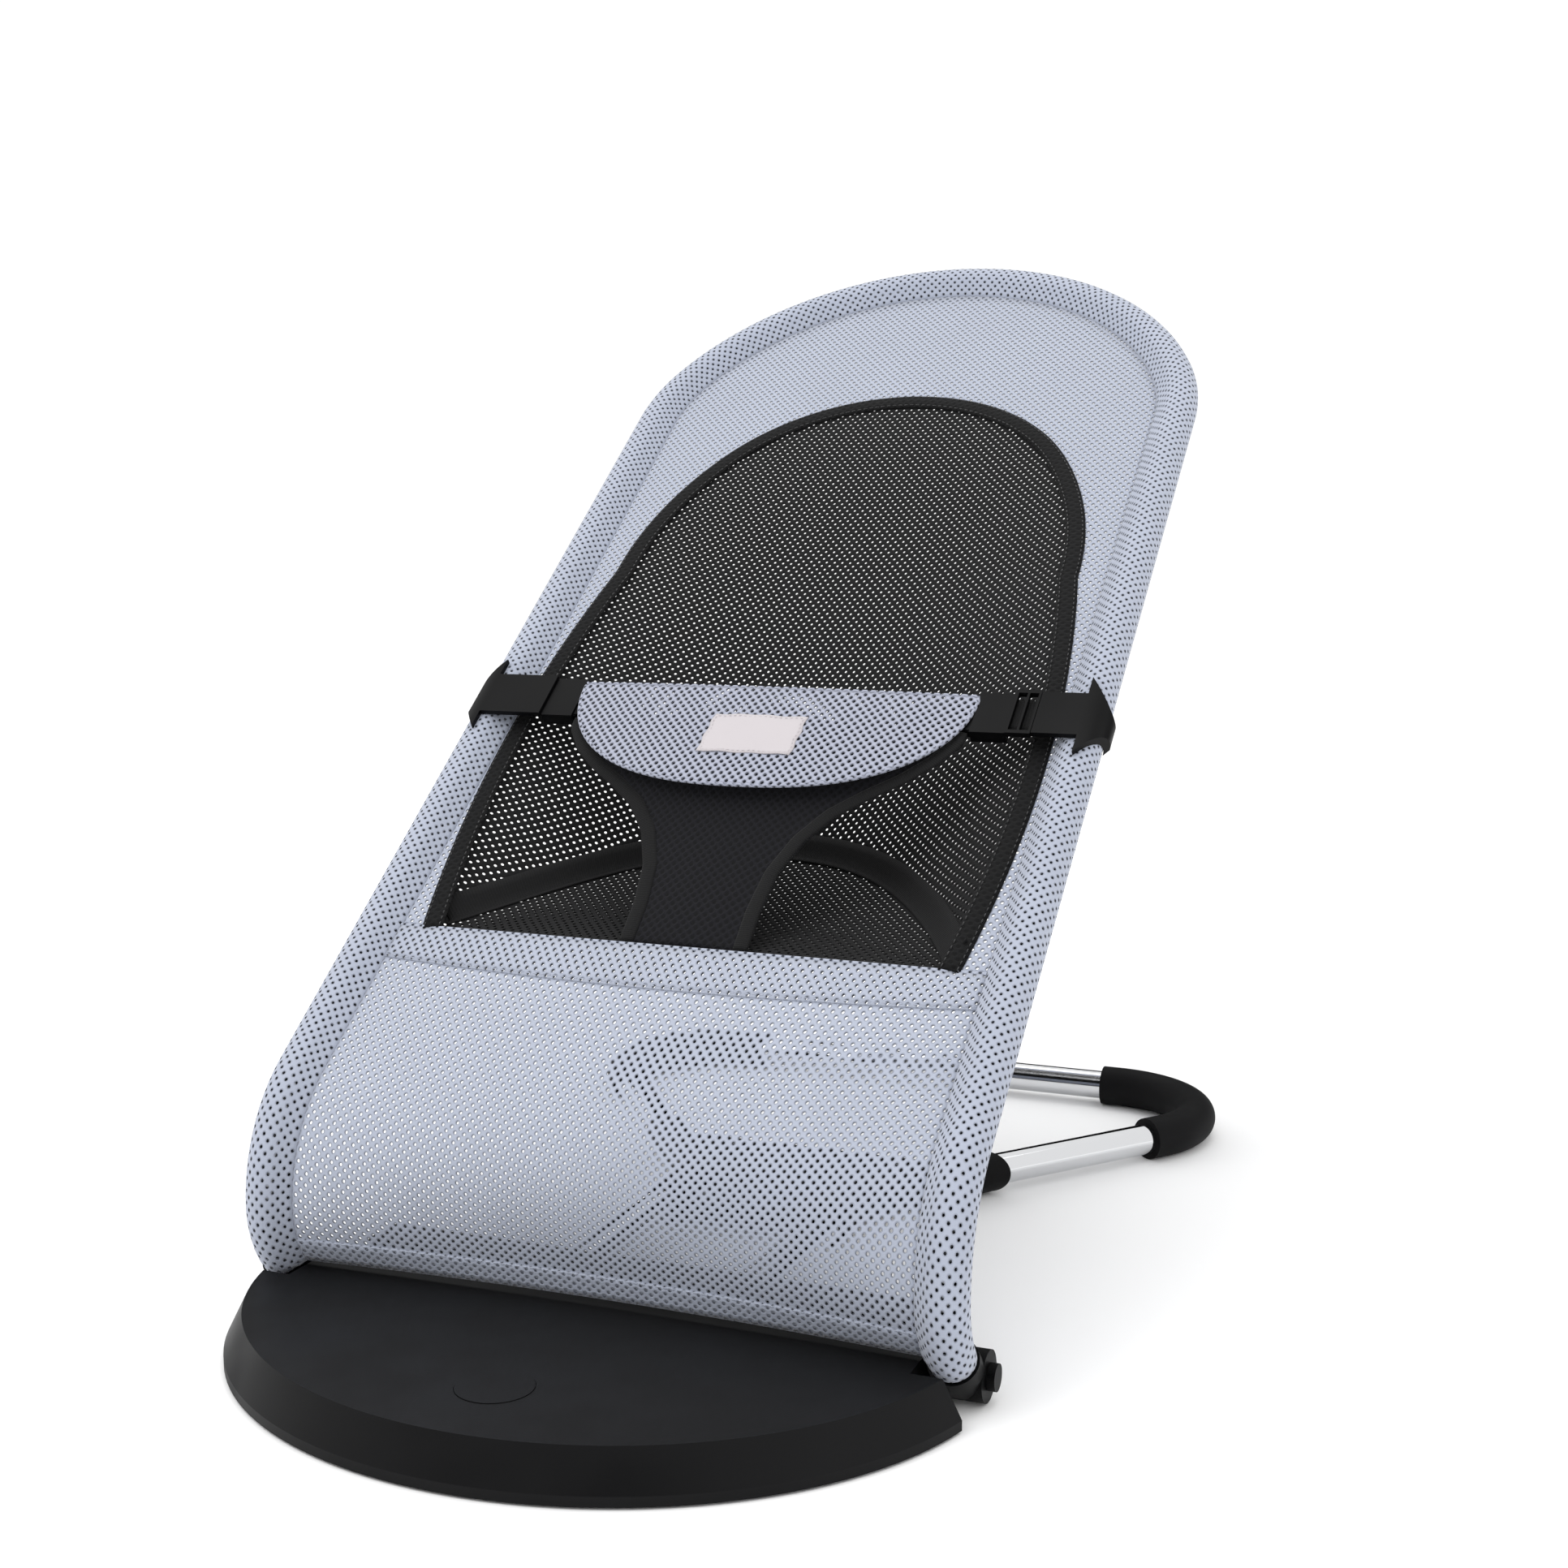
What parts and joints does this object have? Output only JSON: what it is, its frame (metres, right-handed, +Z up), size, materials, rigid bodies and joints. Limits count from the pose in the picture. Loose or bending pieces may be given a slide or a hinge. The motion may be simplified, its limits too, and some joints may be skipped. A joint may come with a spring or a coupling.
{
  "type": "bouncer seat",
  "caption": "Infant bouncer seat: mesh sling on a bent tube frame, hinged to a low footplate with a sprung floor loop, waist belt and crotch panel.",
  "frame": {"origin": "middle of the footprint on the floor", "axes": "+Y towards the head end, +Z up, +X to the right seen from the foot end"},
  "size_m": [0.43, 0.7496, 0.5782],
  "materials": {
    "plate_plastic": "fine moulded texture",
    "frame_plastic": "moulded",
    "buckle_plastic": "moulded acetal, satin",
    "steel": "zinc plated",
    "chrome": "bright chrome plate",
    "coated_steel": "powder coat, hidden in the cover",
    "rubber": "matt non-slip rubber",
    "light_mesh": "open warp-knit mesh, pale blue grey",
    "black_mesh": "open warp-knit mesh, black",
    "black_tape": "woven polyester tape",
    "label": "plain satin label"
  },
  "bodies": {
    "base": {"axle_bracket_left": "frame_plastic", "axle_bracket_right": "frame_plastic", "badge_disc": "plate_plastic", "brace_lower": "frame_plastic", "brace_screws": "steel", "brace_upper": "frame_plastic", "corner_sleeve_left": "rubber", "corner_sleeve_right": "rubber", "floor_loop": "chrome", "foot_pad_front_left": "rubber", "foot_pad_front_right": "rubber", "foot_pad_rear_left": "rubber", "foot_pad_rear_right": "rubber", "footplate_cover": "plate_plastic", "footplate_tray": "plate_plastic", "hinge_cover": "plate_plastic", "loop_plug_left": "frame_plastic", "loop_plug_right": "frame_plastic", "tray_screws": "steel", "tube_saddle_left": "frame_plastic", "tube_saddle_right": "frame_plastic"},
    "carrier": {"axle_cap_left": "steel", "axle_cap_right": "steel", "detent_disc_left": "frame_plastic", "detent_disc_right": "frame_plastic", "hinge_axle": "steel"},
    "seat": {"arch_binding": "black_tape", "back_mesh": "black_mesh", "belt_anchor_left": "buckle_plastic", "belt_anchor_right": "buckle_plastic", "buckle_socket_left": "buckle_plastic", "buckle_socket_right": "buckle_plastic", "crotch_panel": "black_mesh", "head_hoop": "coated_steel", "ladder_lock": "buckle_plastic", "lower_panel": "light_mesh", "seat_mesh": "black_mesh", "sewn_label": "label", "side_tube_left": "coated_steel", "side_tube_right": "coated_steel", "surround": "light_mesh", "tube_shoe_left": "frame_plastic", "tube_shoe_right": "frame_plastic", "tunnel_head": "light_mesh", "tunnel_left": "light_mesh", "tunnel_right": "light_mesh", "waist_crescent": "light_mesh", "webbing_left": "black_tape", "webbing_right": "black_tape"},
    "tongue_left": {"buckle_tongue_left": "buckle_plastic"},
    "tongue_right": {"buckle_tongue_right": "buckle_plastic"}
  },
  "joints": [
    {"name": "bounce", "type": "hinge", "parent": "base", "child": "carrier", "pos_m": [0, -0.20084, 0.013], "axis": [1, 0, 0], "range_deg": [-2.5, 2.5], "stiffness_Nm_per_rad": 140, "springref_deg": 1.72},
    {"name": "recline", "type": "hinge", "parent": "carrier", "child": "seat", "pos_m": [0, -0.20084, 0.013], "axis": [1, 0, 0], "range_deg": [-36, 0]},
    {"name": "release_left", "type": "slide", "parent": "seat", "child": "tongue_left", "axis": [1, 0, 0], "range_m": [0, 0.015]},
    {"name": "release_right", "type": "slide", "parent": "seat", "child": "tongue_right", "axis": [-1, 0, 0], "range_m": [0, 0.015]}
  ]
}
